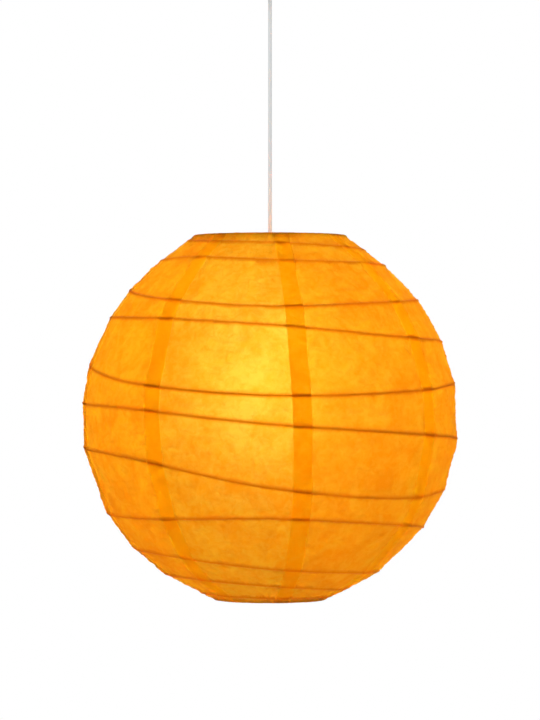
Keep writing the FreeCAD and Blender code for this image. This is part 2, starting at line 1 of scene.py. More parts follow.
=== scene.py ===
"""Looks of a round accordion paper lantern: paper, rib, cord, lamp and the fittings inside it.

Metres, +Z up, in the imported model's own frame. The lantern's front is -Y, and the origin is on the ceiling.
"""
import bisect
import logging
import math
from dataclasses import dataclass
from enum import Enum

import bmesh
import bpy
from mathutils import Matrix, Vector, noise


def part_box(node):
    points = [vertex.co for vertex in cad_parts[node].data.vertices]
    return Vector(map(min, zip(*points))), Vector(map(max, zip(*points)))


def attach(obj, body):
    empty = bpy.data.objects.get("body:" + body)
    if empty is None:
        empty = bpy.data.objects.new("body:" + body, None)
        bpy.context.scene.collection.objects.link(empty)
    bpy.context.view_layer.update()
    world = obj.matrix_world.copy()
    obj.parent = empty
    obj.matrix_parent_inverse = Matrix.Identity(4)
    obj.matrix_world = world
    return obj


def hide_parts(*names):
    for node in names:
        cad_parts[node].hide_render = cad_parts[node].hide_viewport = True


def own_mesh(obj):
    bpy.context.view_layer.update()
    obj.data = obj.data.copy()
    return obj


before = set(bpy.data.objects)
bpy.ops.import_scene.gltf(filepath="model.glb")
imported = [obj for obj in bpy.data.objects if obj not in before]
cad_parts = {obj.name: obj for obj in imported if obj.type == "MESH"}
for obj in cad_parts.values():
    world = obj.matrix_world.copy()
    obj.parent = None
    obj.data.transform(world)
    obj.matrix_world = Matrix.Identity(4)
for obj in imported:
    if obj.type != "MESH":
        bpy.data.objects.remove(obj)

LOG = logging.getLogger("lantern")
MM = 0.001
Colour = tuple[float, float, float]
Place = tuple[float, float, float]
Socket = bpy.types.NodeSocket


# ---- Material nodes ----
class Recipe:
    """The node tree of one material, put together with short calls."""

    def __init__(self, name: str) -> None:
        """Starts an empty material of that name."""
        self.material = bpy.data.materials.new(name)
        self.material.use_nodes = True
        self.tree = self.material.node_tree
        self.tree.nodes.clear()

    def add(self, kind: str, inputs: dict | None = None, **settings) -> bpy.types.Node:
        """Adds one node.

        Args:
            kind: the node's type, without its ShaderNode prefix.
            inputs: values or output sockets, by the input's name or number.
            settings: the node's own properties.

        Returns:
            The new node.
        """
        node = self.tree.nodes.new("ShaderNode" + kind)
        for name, value in settings.items():
            setattr(node, name, value)
        for key, value in (inputs or {}).items():
            if isinstance(value, Socket):
                self.tree.links.new(value, node.inputs[key])
            else:
                node.inputs[key].default_value = value
        return node

    def place(self) -> Socket:
        """Place on the piece, in metres."""
        return self.add("TexCoord").outputs["Object"]

    def stretched(self, scale: Place) -> Socket:
        """Place on the piece with each axis scaled."""
        return self.add("Mapping", {"Vector": self.place(), "Scale": scale}).outputs["Vector"]

    def grain(self, size: float, detail: float = 3.0, rough: float = 0.55, twist: float = 0.0,
              where: Socket | None = None) -> Socket:
        """Cloudy pattern from 0 to 1.

        Args:
            size: width of its largest clouds, in metres.
            detail: how many finer layers it has.
            rough: strength of the finer layers.
            twist: how far it is distorted.
            where: the place that it reads, or None for the piece's own.

        Returns:
            The pattern's socket.
        """
        inputs = {"Vector": where or self.place(), "Scale": 1.0 / size, "Detail": detail,
                  "Roughness": rough, "Distortion": twist}
        return self.add("TexNoise", inputs).outputs["Fac"]

    def remap(self, value: Socket, low: float, high: float, to_low: float = 0.0,
              to_high: float = 1.0) -> Socket:
        """A value's stretch from low to high, moved to another stretch and held there."""
        inputs = {"Value": value, "From Min": low, "From Max": high, "To Min": to_low, "To Max": to_high}
        return self.add("MapRange", inputs).outputs["Result"]

    def sum(self, operation: str, first: Socket | float, second: Socket | float = 0.0) -> Socket:
        """One step of arithmetic, named as the maths node names it."""
        return self.add("Math", {0: first, 1: second}, operation=operation).outputs[0]

    def blend(self, share: Socket | float, first: Colour | Socket, second: Colour | Socket) -> Socket:
        """Colour between two others."""
        inputs = {"Factor": share}
        for key, colour in ((6, first), (7, second)):
            inputs[key] = colour if isinstance(colour, Socket) else (*colour, 1.0)
        return self.add("Mix", inputs, data_type="RGBA").outputs[2]

    def relief(self, height: Socket, depth: float, strength: float = 1.0) -> Socket:
        """Normal of a surface with that height pattern, as deep as depth in metres."""
        inputs = {"Height": height, "Distance": depth, "Strength": strength}
        return self.add("Bump", inputs).outputs["Normal"]

    def finished(self, surface: Socket) -> bpy.types.Material:
        """Joins the surface to the output and hands over the material."""
        self.add("OutputMaterial", {"Surface": surface})
        return self.material


@dataclass(frozen=True)
class Clouds:
    """One scale of clouds and its share of the whole; one scale paints the light and shade of the crinkles,
    the others are the paper's fibres.
    """

    size: float
    detail: float
    share: float
    rough: float = 0.55
    twist: float = 0.0


@dataclass(frozen=True)
class PaperFinish:
    """Dyed crinkled tissue paper with light behind it.

    Thin paper and heavy paper are the two extremes of the first colours, which also paint the light and shade
    of the crinkles; pale and dyed are those of a gore's dye. The colours without face in their names tint the
    light that comes through.
    """

    name: str = "orange_paper"
    # These tints also carry the painted light and shade of the crinkles.
    thin_and_crinkle_highlight: Colour = (1.0, 0.80, 0.07)
    thick_and_crinkle_shade: Colour = (0.96, 0.60, 0.03)
    thin_pale_and_crinkle_highlight: Colour = (1.0, 0.92, 0.13)
    thick_pale_and_crinkle_shade: Colour = (1.0, 0.70, 0.04)
    faded_from: float = 0.62
    lapped: Colour = (1.0, 0.875, 0.17)
    # Painted shadow of the rib wire, partly the darkening of the adhesive: the tint of the paper beside the
    # rib.
    glue_and_rib_shadow_colour: Colour = (0.80, 0.41, 0.03)
    pores_pale: Colour = (1.0, 0.90, 0.40)
    pores_dyed: Colour = (1.0, 0.78, 0.06)
    # The face colours take the painted crinkle shade too.
    face_thin_and_crinkle_highlight: Colour = (0.94, 0.44, 0.014)
    face_thick_and_crinkle_shade: Colour = (0.88, 0.35, 0.008)
    light_through: float = 0.60
    lap_through: float = 0.88
    ahead_dyed: float = 0.34
    ahead_pale: float = 0.56
    pulp_and_crinkle_shade_clouds: tuple[Clouds, ...] = (
        Clouds(60 * MM, 2.0, 0.18),
        # Twisted strokes that paint the light and shade of the crinkles.
        Clouds(30 * MM, 4.0, 0.38, 0.5, 1.3),
        Clouds(9 * MM, 3.0, 0.30, 0.55, 0.8),
        Clouds(1.8 * MM, 3.0, 0.14, 0.6, 1.5),
    )
    pulp_and_crinkle_shade_span: tuple[float, float] = (0.41, 0.59)
    # The crease net paints shade into the creases and gives them their relief.
    crease_net: float = 21 * MM
    crease_width: float = 0.05              # as a share of the net's size
    crease_bend: float = 9 * MM
    crease_bend_width: float = 13 * MM
    crease_patch: float = 26 * MM
    crease_patch_span: tuple[float, float] = (0.47, 0.62)
    crease_depth: float = 0.8               # as a share of the pulp's relief
    relief: float = 0.5 * MM
    relief_strength: float = 0.6
    roughness: float = 0.78
    sheen: float = 0.05
    haze: float = 0.88                      # roughness of the light that comes straight through
    index: float = 1.45
    # Share of the rib wire's painted shadow, partly adhesive, that a lap keeps.
    glue_and_rib_shadow_in_lap: float = 0.5
    pulp_and_crinkle_shade_in_pores: float = 0.5

    def pulp_and_crinkle_shade(self, r: Recipe) -> Socket:
        """Density from 0 to 1 of the paper's fibres and of painted crinkle shade: soft clouds, twisted
        strokes that paint the light and shade of the crinkles, and fine fibres.
        """
        total = 0.0
        for clouds in self.pulp_and_crinkle_shade_clouds:
            pattern = r.grain(clouds.size, clouds.detail, clouds.rough, clouds.twist)
            total = r.sum("ADD", r.sum("MULTIPLY", pattern, clouds.share), total)
        return r.remap(total, *self.pulp_and_crinkle_shade_span)

    def creases(self, r: Recipe) -> Socket:
        """Sharp creases from 0 to 1, broken up so that only some of a net of them shows. They give the relief
        of the creases and paint shade into them.
        """
        sway = r.add("TexNoise", {"Vector": r.place(), "Scale": 1.0 / self.crease_bend_width, "Detail": 2.0})
        bent = r.add("VectorMath", {0: sway.outputs["Color"], 1: (self.crease_bend,) * 3, 2: r.place()},
                     operation="MULTIPLY_ADD").outputs[0]
        net = r.add("TexVoronoi", {"Vector": bent, "Scale": 1.0 / self.crease_net},
                    feature="DISTANCE_TO_EDGE")
        line = r.remap(net.outputs["Distance"], 0.0, self.crease_width, 1.0, 0.0)
        patches = r.remap(r.grain(self.crease_patch, 3.0), *self.crease_patch_span)
        return r.sum("MULTIPLY", line, patches)

    def make(self) -> bpy.types.Material:
        """Builds the material: a matt face, soft light through it and some light straight ahead.

        Returns:
            The paper's material. It reads the mesh attributes lap and pale, and a third that darkens the
            paper beside the rib: partly adhesive, partly painted shadow of the rib wire.
        """
        r = Recipe(self.name)
        pulp_and_crinkle_shade, creases = self.pulp_and_crinkle_shade(r), self.creases(r)
        lap, glue_and_rib_shadow, pale = (r.add("Attribute", attribute_name=name).outputs["Fac"]
                           for name in ("lap", "glue_and_rib_shadow", "pale"))
        faded = r.remap(pale, self.faded_from, 1.0)
        thin_and_crinkle_highlight = r.blend(faded, self.thin_and_crinkle_highlight, self.thin_pale_and_crinkle_highlight)
        thick_and_crinkle_shade = r.blend(faded, self.thick_and_crinkle_shade, self.thick_pale_and_crinkle_shade)
        # Painted crinkle shade: the strokes lighten and darken the light through the paper, and the creases
        # darken it.
        through = r.blend(r.sum("MAXIMUM", pulp_and_crinkle_shade, creases), thin_and_crinkle_highlight, thick_and_crinkle_shade)
        through = r.blend(lap, through, self.lapped)
        # Painted shadow of the rib wire, partly adhesive: the paper beside the rib is darkened, less where
        # gores lap.
        glue_and_rib_shadow = r.sum("MULTIPLY", glue_and_rib_shadow, r.remap(lap, 0.0, 1.0, 1.0, self.glue_and_rib_shadow_in_lap))
        through = r.blend(glue_and_rib_shadow, through, self.glue_and_rib_shadow_colour)
        pores = r.blend(pale, self.pores_dyed, self.pores_pale)
        # The painted crinkle shade reaches the light straight ahead too.
        pores = r.blend(r.sum("MULTIPLY", pulp_and_crinkle_shade, self.pulp_and_crinkle_shade_in_pores), pores, self.thick_and_crinkle_shade)
        # The rib wire's painted shadow darkens the light straight ahead too.
        pores = r.blend(glue_and_rib_shadow, pores, self.glue_and_rib_shadow_colour)
        # The matt face takes the painted crinkle shade too.
        face = r.blend(pulp_and_crinkle_shade, self.face_thin_and_crinkle_highlight, self.face_thick_and_crinkle_shade)
        height = r.sum("SUBTRACT", pulp_and_crinkle_shade, r.sum("MULTIPLY", creases, self.crease_depth))
        normal = r.relief(height, self.relief, self.relief_strength)
        matt = r.add("BsdfPrincipled", {"Base Color": face, "Roughness": self.roughness,
                                        "Specular IOR Level": self.sheen, "Normal": normal})
        glow = r.add("BsdfTranslucent", {"Color": through, "Normal": normal})
        ahead = r.add("BsdfRefraction", {"Color": pores, "Roughness": self.haze, "IOR": self.index,
                                         "Normal": normal})
        share = r.remap(pale, 0.0, 1.0, self.ahead_dyed, self.ahead_pale)
        light = r.add("MixShader", {0: share, 1: glow.outputs[0], 2: ahead.outputs[0]})
        open_share = r.remap(lap, 0.0, 1.0, self.light_through, self.lap_through)
        whole = r.add("MixShader", {0: open_share, 1: matt.outputs[0], 2: light.outputs[0]})
        return r.finished(whole.outputs[0])


@dataclass(frozen=True)
class WoundFinish:
    """Thin wire wound with dyed paper, which lets a little light past."""

    name: str = "rib_wire"
    light: Colour = (0.94, 0.52, 0.06)
    dark: Colour = (0.84, 0.40, 0.04)
    past: float = 0.74

    def make(self) -> bpy.types.Material:
        """Builds the material."""
        r = Recipe(self.name)
        turns = r.grain(2.5 * MM, 3.0, 0.6)
        colour = r.blend(r.remap(turns, 0.35, 0.65), self.light, self.dark)
        normal = r.relief(turns, 0.05 * MM, 0.5)
        skin = r.add("BsdfPrincipled", {"Base Color": colour, "Roughness": 0.65, "Normal": normal})
        glow = r.add("BsdfTranslucent", {"Color": colour, "Normal": normal})
        whole = r.add("MixShader", {0: self.past, 1: skin.outputs[0], 2: glow.outputs[0]})
        return r.finished(whole.outputs[0])


@dataclass(frozen=True)
class MetalFinish:
    """Bare or plated metal with fine scratches and a little staining."""

    name: str
    clean: Colour
    stained: Colour
    roughness: float = 0.3
    spread: float = 0.18
    stain_size: float = 12 * MM
    scratch: Place = (400.0, 400.0, 60.0)

    def make(self) -> bpy.types.Material:
        """Builds the material."""
        r = Recipe(self.name)
        stain = r.remap(r.grain(self.stain_size, 5.0, 0.6, 0.4), 0.42, 0.68)
        lines = r.grain(1.0, 4.0, 0.7, where=r.stretched(self.scratch))
        colour = r.blend(stain, self.clean, self.stained)
        rough = r.sum("ADD", r.remap(lines, 0.3, 0.7, self.roughness - self.spread / 2,
                                     self.roughness + self.spread / 2), r.sum("MULTIPLY", stain, 0.12))
        normal = r.relief(lines, 0.02 * MM, 0.35)
        metal = r.add("BsdfPrincipled", {"Base Color": colour, "Metallic": 1.0, "Roughness": rough,
                                         "Normal": normal})
        return r.finished(metal.outputs[0])


@dataclass(frozen=True)
class MouldedFinish:
    """Moulded plastic, porcelain or enamel: a faint mottle, and a skin with a fine texture."""

    name: str
    colour: Colour
    shade: Colour
    roughness: float = 0.4
    skin_size: float = 0.7 * MM
    skin_depth: float = 0.02 * MM
    coat: float = 0.0
    soft: float = 0.0

    def make(self) -> bpy.types.Material:
        """Builds the material."""
        r = Recipe(self.name)
        clouds = r.remap(r.grain(18 * MM, 4.0, 0.6), 0.35, 0.7)
        skin = r.grain(self.skin_size, 2.0)
        colour = r.blend(clouds, self.colour, self.shade)
        rough = r.remap(r.grain(6 * MM, 3.0), 0.3, 0.7, self.roughness - 0.06, self.roughness + 0.08)
        solid = r.add("BsdfPrincipled", {
            "Base Color": colour, "Roughness": rough, "Normal": r.relief(skin, self.skin_depth, 0.5),
            "Coat Weight": self.coat, "Coat Roughness": 0.12, "Subsurface Weight": self.soft,
            "Subsurface Radius": (1.0, 0.8, 0.6), "Subsurface Scale": 1.5 * MM})
        return r.finished(solid.outputs[0])


@dataclass(frozen=True)
class SheathFinish:
    """Smooth flex sheath drawn along its length, with faint lines and a little dust."""

    name: str
    colour: Colour
    dust: Colour
    roughness: float = 0.42

    def make(self) -> bpy.types.Material:
        """Builds the material."""
        r = Recipe(self.name)
        lines = r.grain(1.0, 3.0, 0.6, where=r.stretched((1800.0, 1800.0, 25.0)))
        dust = r.remap(r.grain(15 * MM, 5.0, 0.65), 0.45, 0.75, 0.0, 0.5)
        normal = r.relief(lines, 0.05 * MM, 0.4)
        rough = r.remap(lines, 0.3, 0.7, self.roughness - 0.06, self.roughness + 0.1)
        skin = r.add("BsdfPrincipled", {
            "Base Color": r.blend(dust, self.colour, self.dust), "Roughness": rough, "Normal": normal,
            "Subsurface Weight": 0.08, "Subsurface Scale": 1.0 * MM, "Subsurface Radius": (1.0, 1.0, 1.0)})
        return r.finished(skin.outputs[0])


@dataclass(frozen=True)
class GlassFinish:
    """Clear or dark glass with a slightly uneven face."""

    name: str
    colour: Colour
    clear: float = 1.0
    roughness: float = 0.05

    def make(self) -> bpy.types.Material:
        """Builds the material."""
        r = Recipe(self.name)
        rough = r.remap(r.grain(8 * MM, 3.0), 0.3, 0.7, self.roughness, self.roughness + 0.08)
        tint = r.blend(r.grain(10 * MM, 3.0), self.colour, tuple(0.9 * part for part in self.colour))
        glass = r.add("BsdfPrincipled", {"Base Color": tint, "Roughness": rough,
                                         "Transmission Weight": self.clear, "IOR": 1.5})
        return r.finished(glass.outputs[0])


@dataclass(frozen=True)
class GlowingFinish:
    """A lit surface: frosted glass over a filament, or the filament itself."""

    name: str
    body: Colour
    light: Colour
    strength: float
    mottle: float = 6 * MM

    def make(self) -> bpy.types.Material:
        """Builds the material."""
        r = Recipe(self.name)
        frost = r.grain(self.mottle, 4.0, 0.6)
        colour = r.blend(frost, self.body, tuple(0.94 * part for part in self.body))
        rough = r.remap(frost, 0.3, 0.7, 0.35, 0.5)
        normal = r.relief(r.grain(0.5 * MM, 2.0), 0.02 * MM, 0.4)
        lit = r.add("BsdfPrincipled", {
            "Base Color": colour, "Roughness": rough, "Normal": normal,
            "Emission Color": (*self.light, 1.0), "Emission Strength": self.strength})
        return r.finished(lit.outputs[0])


class Slot(Enum):
    """The record's material slots."""

    PAPER = "paper"
    RIB = "rib_wire"
    HOOP = "hoop_steel"
    FRAME = "frame_wire"
    ZINC = "zinc_steel"
    ENAMEL = "white_enamel"
    PLASTIC = "white_plastic"
    TERMINAL = "terminal_plastic"
    CORD = "cord_sheath"
    CORE = "core_sheath"
    PORCELAIN = "porcelain"
    BRASS = "brass"
    LAMP_CAP = "lamp_cap_metal"
    BLACK_GLASS = "black_glass"
    SOLDER = "solder"
    LAMP_GLASS = "lamp_glass"
    STEM_GLASS = "stem_glass"
    LEAD = "lead_wire"
    FILAMENT = "filament"


FINISHES = {
    Slot.PAPER: PaperFinish(),
    Slot.RIB: WoundFinish(),
    Slot.HOOP: MetalFinish("hoop_steel", (0.60, 0.59, 0.57), (0.36, 0.33, 0.30), 0.38),
    Slot.FRAME: MetalFinish("frame_wire", (0.70, 0.70, 0.69), (0.45, 0.45, 0.46), 0.28),
    Slot.ZINC: MetalFinish("zinc_steel", (0.66, 0.67, 0.68), (0.46, 0.48, 0.50), 0.36, stain_size=5 * MM),
    Slot.ENAMEL: MouldedFinish("white_enamel", (0.86, 0.86, 0.84), (0.80, 0.80, 0.77), 0.28, 0.9 * MM,
                               0.03 * MM, coat=0.5),
    Slot.PLASTIC: MouldedFinish("white_plastic", (0.87, 0.87, 0.85), (0.81, 0.80, 0.77), 0.42, soft=0.1),
    Slot.TERMINAL: MouldedFinish("terminal_plastic", (0.80, 0.78, 0.70), (0.70, 0.67, 0.58), 0.5,
                                 soft=0.15),
    Slot.CORD: SheathFinish("cord_sheath", (0.93, 0.97, 0.98), (0.86, 0.89, 0.89)),
    Slot.CORE: SheathFinish("core_sheath", (0.33, 0.14, 0.06), (0.28, 0.15, 0.09), 0.35),
    Slot.PORCELAIN: MouldedFinish("porcelain", (0.88, 0.87, 0.83), (0.82, 0.80, 0.74), 0.18, 1.5 * MM,
                                  0.02 * MM, coat=0.6),
    Slot.BRASS: MetalFinish("brass", (0.83, 0.62, 0.28), (0.52, 0.36, 0.16), 0.3, stain_size=4 * MM),
    Slot.LAMP_CAP: MetalFinish("lamp_cap_metal", (0.78, 0.78, 0.77), (0.58, 0.57, 0.55), 0.26),
    Slot.BLACK_GLASS: MouldedFinish("black_glass", (0.02, 0.02, 0.024), (0.05, 0.05, 0.055), 0.12,
                                    coat=0.8),
    Slot.SOLDER: MetalFinish("solder", (0.60, 0.60, 0.61), (0.40, 0.40, 0.42), 0.42, stain_size=3 * MM),
    Slot.LAMP_GLASS: GlowingFinish("lamp_glass", (0.95, 0.93, 0.88), (1.0, 0.90, 0.72), 52.0),
    Slot.STEM_GLASS: GlassFinish("stem_glass", (0.90, 0.96, 0.95)),
    Slot.LEAD: MetalFinish("lead_wire", (0.58, 0.53, 0.48), (0.36, 0.31, 0.28), 0.4),
    Slot.FILAMENT: GlowingFinish("filament", (0.5, 0.4, 0.3), (1.0, 0.72, 0.38), 90.0, 0.6 * MM),
}


# ---- Shared helpers ----
def soft_step(share: float) -> float:
    """Smooth rise from 0 to 1."""
    share = min(max(share, 0.0), 1.0)
    return share * share * (3 - 2 * share)


def near(distance: float, reach: float) -> float:
    """Bell curve that is 1 at a distance of 0 and fades over a reach."""
    return math.exp(-((distance / reach) ** 2))


def grid_mesh(name: str, across: int, down: int) -> bmesh.types.BMesh:
    """Flat grid of faces to shape.

    Args:
        name: for the log.
        across: number of columns of vertices.
        down: number of rows of vertices.

    Returns:
        The grid, with each vertex at (column, row, 0).
    """
    sheet = bmesh.new()
    bmesh.ops.create_grid(sheet, x_segments=across - 1, y_segments=down - 1, size=0.5)
    for vert in sheet.verts:
        vert.co = (round((vert.co.x + 0.5) * (across - 1)), round((vert.co.y + 0.5) * (down - 1)), 0.0)
    LOG.debug("%s: %d faces", name, len(sheet.faces))
    return sheet


def as_object(name: str, shape: bmesh.types.BMesh, finish: bpy.types.Material) -> bpy.types.Object:
    """Turns a finished bmesh into an object with smooth faces.

    Args:
        name: the piece's name.
        shape: the bmesh, which is freed.
        finish: its material.

    Returns:
        The new object, in the scene.
    """
    mesh = bpy.data.meshes.new(name)
    shape.to_mesh(mesh)
    shape.free()
    mesh.shade_smooth()
    mesh.materials.append(finish)
    piece = bpy.data.objects.new(name, mesh)
    bpy.context.scene.collection.objects.link(piece)
    return piece


def thicken(piece: bpy.types.Object, thickness: float) -> None:
    """Gives a sheet its thickness, inwards from its outer face."""
    wall = piece.modifiers.new("thickness", "SOLIDIFY")
    wall.thickness = thickness
    wall.offset = -1.0


class Assembly:
    """A group of pieces of the lantern that share a store of finishes."""

    def __init__(self, store: dict[Slot, bpy.types.Material]) -> None:
        """Keeps the finishes that its pieces are dressed in."""
        self.store = store

    def dress(self, slot: Slot, *names: str) -> None:
        """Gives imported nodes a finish.

        Args:
            slot: the record's slot.
            names: the nodes.
        """
        for name in names:
            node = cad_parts[name]
            if not node.material_slots:
                node.data.materials.append(None)
            for place in node.material_slots:
                place.material = self.store[slot]
            LOG.info("%s: %s", name, slot.value)


# ---- Shade ----
@dataclass(frozen=True)
class End:
    """One end of the shade, at a hoop. Heights count from the widest level, up or down."""

    height: float
    mouth: float
    shoulder_radius: float
    shoulder_height: float

    def fold_angle(self, wrap: float) -> float:
        """Angle round the hoop's section at which the flat paper meets its fold.

        Args:
            wrap: outer radius of the paper round the hoop's wire.

        Returns:
            Radians from straight out, towards the shade's end.
        """
        run, rise = self.shoulder_radius - self.mouth, self.height - self.shoulder_height
        return math.acos(wrap / math.hypot(run, rise)) - math.atan2(rise, run)

    def fold(self, wrap: float) -> tuple[float, float]:
        """Radius and height at which the flat paper meets its fold."""
        angle = self.fold_angle(wrap)
        return self.mouth + wrap * math.cos(angle), self.height + wrap * math.sin(angle)


class ShadeForm:
    """Outside of the shade, and the course of its rib, worked out from the frame."""

    WIDEST_BELOW_HOOP = 194.0 * MM
    UPPER_SHOULDER = (115.0 * MM, 24.0 * MM)
    LOWER_SHOULDER = (100.0 * MM, 18.0 * MM)
    WRAP_PAST_WIRE = 0.5 * MM
    RIB_FIRST, RIB_LAST = -0.125, 10.5

    # The rib's height at each eighth of a turn, from an eighth before the left, by the left, the front, the
    # right and the back, as a share of the height from the widest level to the hoop above or below it.
    RIB_COURSE = (
        0.990, 0.982, 0.969, 0.957, 0.941, 0.928, 0.912, 0.897, 0.881,
        0.871, 0.881, 0.861, 0.851, 0.845, 0.825, 0.789, 0.747,
        0.717, 0.655, 0.610, 0.634, 0.657, 0.639, 0.608, 0.578,
        0.562, 0.551, 0.513, 0.454, 0.428, 0.397, 0.366, 0.340,
        0.312, 0.206, 0.146, 0.162, 0.206, 0.191, 0.154, 0.119,
        0.097, 0.072, -0.003, -0.059, -0.106, -0.128, -0.138, -0.138,
        -0.149, -0.199, -0.346, -0.415, -0.388, -0.410, -0.452, -0.494,
        -0.521, -0.529, -0.514, -0.558, -0.607, -0.633, -0.659, -0.686,
        -0.708, -0.742, -0.800, -0.835, -0.851, -0.856, -0.862, -0.862,
        -0.862, -0.872, -0.903, -0.934, -0.955, -0.962, -0.966, -0.967,
        -0.969, -0.973, -0.980, -0.987, -0.992,
    )

    def __init__(self) -> None:
        """Reads the hoops and the widest gore from the frame."""
        low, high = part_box("top_hoop")
        self.wire = (high.z - low.z) / 2
        self.wrap = self.wire + self.WRAP_PAST_WIRE
        self.level = (low.z + high.z) / 2 - self.WIDEST_BELOW_HOOP
        self.widest = -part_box("paper_panel_8")[0].y
        top_mouth = high.x - self.wire
        low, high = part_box("bottom_hoop")
        depth = self.level - (low.z + high.z) / 2
        self.top = End(self.WIDEST_BELOW_HOOP, top_mouth, self.UPPER_SHOULDER[0],
                       self.WIDEST_BELOW_HOOP - self.UPPER_SHOULDER[1])
        self.bottom = End(depth, high.x - self.wire, self.LOWER_SHOULDER[0], depth - self.LOWER_SHOULDER[1])
        heights = [s * (self.top.height if s > 0 else self.bottom.height) for s in self.RIB_COURSE]
        self.rib_points = [2 * heights[0] - heights[1], *heights, 2 * heights[-1] - heights[-2]]

    def radius(self, height: float) -> float:
        """Radius of the paper's outside at a height from the widest level, up or down."""
        end = self.top if height >= 0 else self.bottom
        height = abs(height)
        step = self.widest - end.shoulder_radius
        arc = (step ** 2 + end.shoulder_height ** 2) / (2 * step)
        if height <= end.shoulder_height:
            return self.widest - arc + math.sqrt(arc ** 2 - height ** 2)
        fold_radius, fold_height = end.fold(self.wrap)
        share = (height - end.shoulder_height) / (fold_height - end.shoulder_height)
        return end.shoulder_radius + share * (fold_radius - end.shoulder_radius)

    def rib_height(self, turn: float) -> float:
        """Height of the rib from the widest level after so many turns, held at its two ends."""
        step = min(max(turn, self.RIB_FIRST), self.RIB_LAST - 1e-6) * 8 + 1
        first = int(step)
        share = step - first
        a, b, c, d = self.rib_points[first:first + 4]
        return b + 0.5 * share * (c - a + share * (2 * a - 5 * b + 4 * c - d + share * (3 * (b - c) + d - a)))

    def has_rib(self, turn: float) -> bool:
        """True where the rib runs, and not past its ends."""
        return self.RIB_FIRST <= turn <= self.RIB_LAST

    def spot(self, angle: float, radius: float, height: float) -> Vector:
        """Point at an angle round the axis, a radius and a height from the widest level."""
        return Vector((radius * math.cos(angle), radius * math.sin(angle), self.level + height))


@dataclass(frozen=True)
class Creases:
    """How the paper crinkles between two turns of the rib. Depths and widths are in metres."""

    slack: float = 1.1 * MM
    slack_width: float = 34.0 * MM
    dimple: float = 0.80 * MM
    dimple_width: float = 15.0 * MM
    crumple: float = 0.50 * MM
    crumple_width: float = 6.0 * MM
    crumple_shift: Place = (3.1, 5.7, 1.3)
    cup: float = 1.7            # how fast a dimple or crumple rises from its middle, as a share of its depth
    cup_level: float = 0.55     # how far its middle lies under the smooth surface, the same
    pleat: float = 1.6 * MM
    pleat_ease: float = 1.6     # less the taper: pleats deepen towards the mouths
    pleat_width: float = 5.0 * MM
    pleat_reach: float = 9.0 * MM
    streak: float = 0.55 * MM
    crimp: float = 0.42 * MM
    crimp_width: float = 4.2 * MM
    streak_size: tuple[float, float] = (30.0 * MM, 4.5 * MM)
    streak_gain: float = 1.2    # streaks deepen towards the mouths too
    turn_shift: tuple[float, float] = (3.3, 7.7)    # so that no two bands crinkle alike
    rib_margin: float = 2.5 * MM

    def depth(self, spot: Vector, arc: float, along: float, width: float, turn: int, taper: float) -> float:
        """Height of the crinkled paper over its smooth surface.

        Args:
            spot: point on the smooth surface.
            arc: distance round the shade at its widest.
            along: distance from the rib above.
            width: distance between the two turns of the rib.
            turn: number of the turn above.
            taper: the shade's radius here, as a share of its widest.

        Returns:
            Metres outwards.
        """
        bulge = self.slack * noise.noise(spot / self.slack_width)
        cells = noise.voronoi(spot / self.dimple_width)[0]
        bulge += self.dimple * (self.cup * cells[0] ** 2 - self.cup_level)
        cells = noise.voronoi(spot / self.crumple_width + Vector(self.crumple_shift))[0]
        bulge += self.crumple * (self.cup * cells[0] ** 2 - self.cup_level)
        bulge += self.crimp * noise.noise(spot / self.crimp_width)
        long, short = self.streak_size
        ruck = 0.5 - 2.0 * abs(noise.noise(Vector((arc / long, along / short, self.turn_shift[0] * turn))))
        bulge += self.streak * (1.0 + self.streak_gain * (1.0 - taper)) * ruck
        hold = math.exp(-along / self.pleat_reach) + math.exp((along - width) / self.pleat_reach)
        fold = Vector((arc / self.pleat_width, along / (4 * self.pleat_width), self.turn_shift[1] * turn))
        bulge -= self.pleat * (self.pleat_ease - taper) * hold * abs(noise.noise(fold))
        return bulge * soft_step(min(along, width - along) / self.rib_margin)


@dataclass(frozen=True)
class Column:
    """One line of a gore's points from the top hoop to the bottom one.

    Its place is a share of the gore's width, plus so many lap widths, plus a distance.
    """

    share: float
    laps: float
    extra: float
    lift: float
    lap: float


